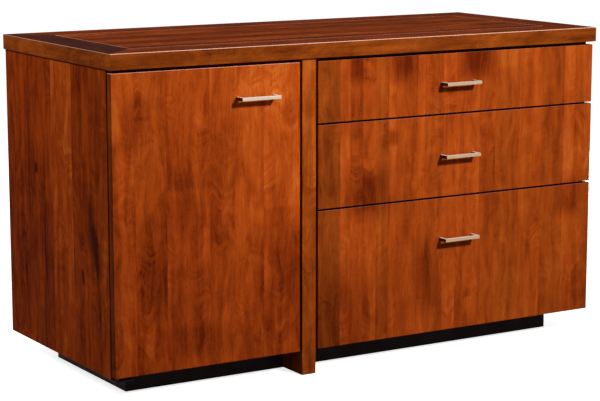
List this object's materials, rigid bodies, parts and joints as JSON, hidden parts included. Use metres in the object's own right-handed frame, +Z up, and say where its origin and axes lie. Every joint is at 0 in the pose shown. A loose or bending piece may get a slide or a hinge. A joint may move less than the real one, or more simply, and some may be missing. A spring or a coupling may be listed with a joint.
{
  "type": "office credenza",
  "caption": "Low office storage cabinet with a cupboard door at the left, stacked drawers with a file drawer at the right, a framed worktop and recessed plinths.",
  "frame": {"origin": "on the floor, under the middle of the bounding box, pulls included", "axes": "+X along the front towards the drawers, +Y from the front to the back, +Z up"},
  "size_m": [1.316, 0.592, 0.762],
  "materials": {
    "worktop_wood": "satin lacquer over a dark reddish-brown stain",
    "front_wood": "satin lacquer over an orange-brown stain",
    "case_wood": "satin lacquer over a red-brown stain",
    "pale_wood": "clear lacquer",
    "black_plinth": "matt black paint",
    "satin_nickel": "satin nickel plate",
    "zinc_steel": "bright zinc plate",
    "bracket_steel": "dark bronze paint",
    "bush_plastic": "moulded acetal",
    "catch_plastic": "brown moulded plastic round a magnet"
  },
  "bodies": {
    "case": {"worktop_panel": "worktop_wood", "worktop_front_rail": "worktop_wood", "worktop_back_rail": "worktop_wood", "worktop_left_rail": "worktop_wood", "worktop_right_rail": "worktop_wood", "left_side_panel": "case_wood", "right_side_panel": "case_wood", "centre_partition": "case_wood", "cupboard_floor": "case_wood", "cupboard_back": "case_wood", "drawer_bay_floor": "case_wood", "drawer_bay_back": "case_wood", "cupboard_stretchers": "pale_wood", "drawer_bay_stretchers": "pale_wood", "worktop_screws": "zinc_steel", "left_plinth_front": "black_plinth", "left_plinth_back": "black_plinth", "left_plinth_end": "black_plinth", "right_plinth_front": "black_plinth", "right_plinth_back": "black_plinth", "right_plinth_end": "black_plinth", "plinth_blocks": "black_plinth", "shelf": "case_wood", "shelf_pins": "zinc_steel", "top_pivot_bracket": "bracket_steel", "bottom_pivot_bracket": "bracket_steel", "bracket_screws": "zinc_steel", "door_catch": "catch_plastic", "cabinet_slide_members": "zinc_steel", "slide_screws": "zinc_steel"},
    "door": {"door_panel": "front_wood", "door_pull": "satin_nickel", "door_pull_screws": "zinc_steel", "door_bushes": "bush_plastic", "catch_plate": "zinc_steel"},
    "top_drawer": {"top_drawer_front": "front_wood", "top_drawer_pull": "satin_nickel", "top_drawer_pull_screws": "zinc_steel", "top_drawer_sides": "pale_wood", "top_drawer_ends": "pale_wood", "top_drawer_bottom": "pale_wood", "top_drawer_slide_members": "zinc_steel"},
    "top_slide_middles": {"top_drawer_middle_members": "zinc_steel"},
    "middle_drawer": {"middle_drawer_front": "front_wood", "middle_drawer_pull": "satin_nickel", "middle_drawer_pull_screws": "zinc_steel", "middle_drawer_sides": "pale_wood", "middle_drawer_ends": "pale_wood", "middle_drawer_bottom": "pale_wood", "middle_drawer_slide_members": "zinc_steel"},
    "middle_slide_middles": {"middle_drawer_middle_members": "zinc_steel"},
    "bottom_drawer": {"bottom_drawer_front": "front_wood", "bottom_drawer_pull": "satin_nickel", "bottom_drawer_pull_screws": "zinc_steel", "bottom_drawer_sides": "pale_wood", "bottom_drawer_ends": "pale_wood", "bottom_drawer_bottom": "pale_wood", "bottom_drawer_slide_members": "zinc_steel", "file_rails": "zinc_steel"},
    "bottom_slide_middles": {"bottom_drawer_middle_members": "zinc_steel"}
  },
  "joints": [
    {"name": "door_hinge", "type": "hinge", "parent": "case", "child": "door", "pos_m": [-0.647, -0.261, 0.38825], "axis": [0, 0, -1], "range_deg": [0, 105]},
    {"name": "top_drawer_slide", "type": "slide", "parent": "case", "child": "top_drawer", "axis": [0, -1, 0], "range_m": [0, 0.48]},
    {"name": "top_middle_members_slide", "type": "slide", "parent": "case", "child": "top_slide_middles", "axis": [0, -1, 0], "range_m": [0, 0.24]},
    {"name": "middle_drawer_slide", "type": "slide", "parent": "case", "child": "middle_drawer", "axis": [0, -1, 0], "range_m": [0, 0.48]},
    {"name": "middle_middle_members_slide", "type": "slide", "parent": "case", "child": "middle_slide_middles", "axis": [0, -1, 0], "range_m": [0, 0.24]},
    {"name": "bottom_drawer_slide", "type": "slide", "parent": "case", "child": "bottom_drawer", "axis": [0, -1, 0], "range_m": [0, 0.48]},
    {"name": "bottom_middle_members_slide", "type": "slide", "parent": "case", "child": "bottom_slide_middles", "axis": [0, -1, 0], "range_m": [0, 0.24]}
  ],
  "couplings": [
    {"joint": "top_middle_members_slide", "follows": "top_drawer_slide", "ratio": 0.5},
    {"joint": "middle_middle_members_slide", "follows": "middle_drawer_slide", "ratio": 0.5},
    {"joint": "bottom_middle_members_slide", "follows": "bottom_drawer_slide", "ratio": 0.5}
  ]
}
